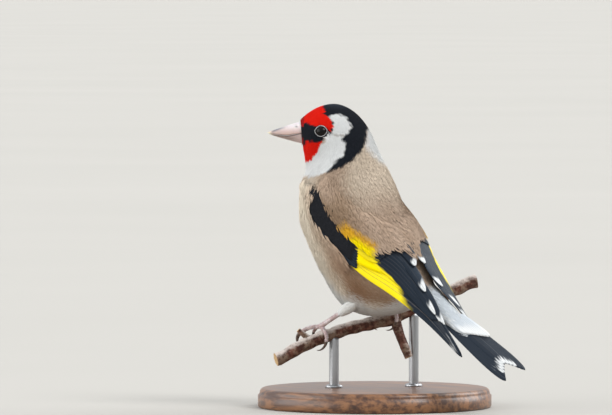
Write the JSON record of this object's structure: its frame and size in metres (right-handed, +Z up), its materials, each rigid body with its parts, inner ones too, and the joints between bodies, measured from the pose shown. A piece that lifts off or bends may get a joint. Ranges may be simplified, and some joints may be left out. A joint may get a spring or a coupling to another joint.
{
  "type": "european goldfinch display model",
  "caption": "Life-size still model of a goldfinch gripping a cut twig, held by rods on a flat round base.",
  "frame": {"origin": "middle of the stand's underside", "axes": "+X the way the body faces, +Y its left side, +Z up off the stand"},
  "size_m": [0.0985, 0.072, 0.0933],
  "materials": {
    "coat": "soft matt plumage, warm brown over white, scarlet and black on the face",
    "flight_feathers": "satin black flight and tail feathers with a yellow band and white tips",
    "bill": "horn, ivory pink with a dusky tip, satin",
    "eye": "very dark brown, wet gloss",
    "leg_skin": "scaly skin, pinkish flesh",
    "claw": "horn, dark brown, satin",
    "bark": "thin bark, red brown with grey bloom",
    "stand_wood": "turned wood, satin oil finish",
    "stand_metal": "plain drawn rod"
  },
  "bodies": {
    "root": {"bill_lower": "bill", "bill_upper": "bill", "claw_left_1": "claw", "claw_left_2": "claw", "claw_left_3": "claw", "claw_left_4": "claw", "claw_right_1": "claw", "claw_right_2": "claw", "claw_right_3": "claw", "claw_right_4": "claw", "eye_left": "eye", "eye_right": "eye", "foot_left": "leg_skin", "foot_right": "leg_skin", "head": "coat", "neck": "coat", "perch": "bark", "shank_left": "leg_skin", "shank_right": "leg_skin", "stand_base": "stand_wood", "stand_rod_1": "stand_metal", "stand_rod_2": "stand_metal", "tail": "flight_feathers", "torso": "coat", "upper_leg_left": "coat", "upper_leg_right": "coat", "wing_left": "flight_feathers", "wing_right": "flight_feathers"}
  },
  "joints": []
}
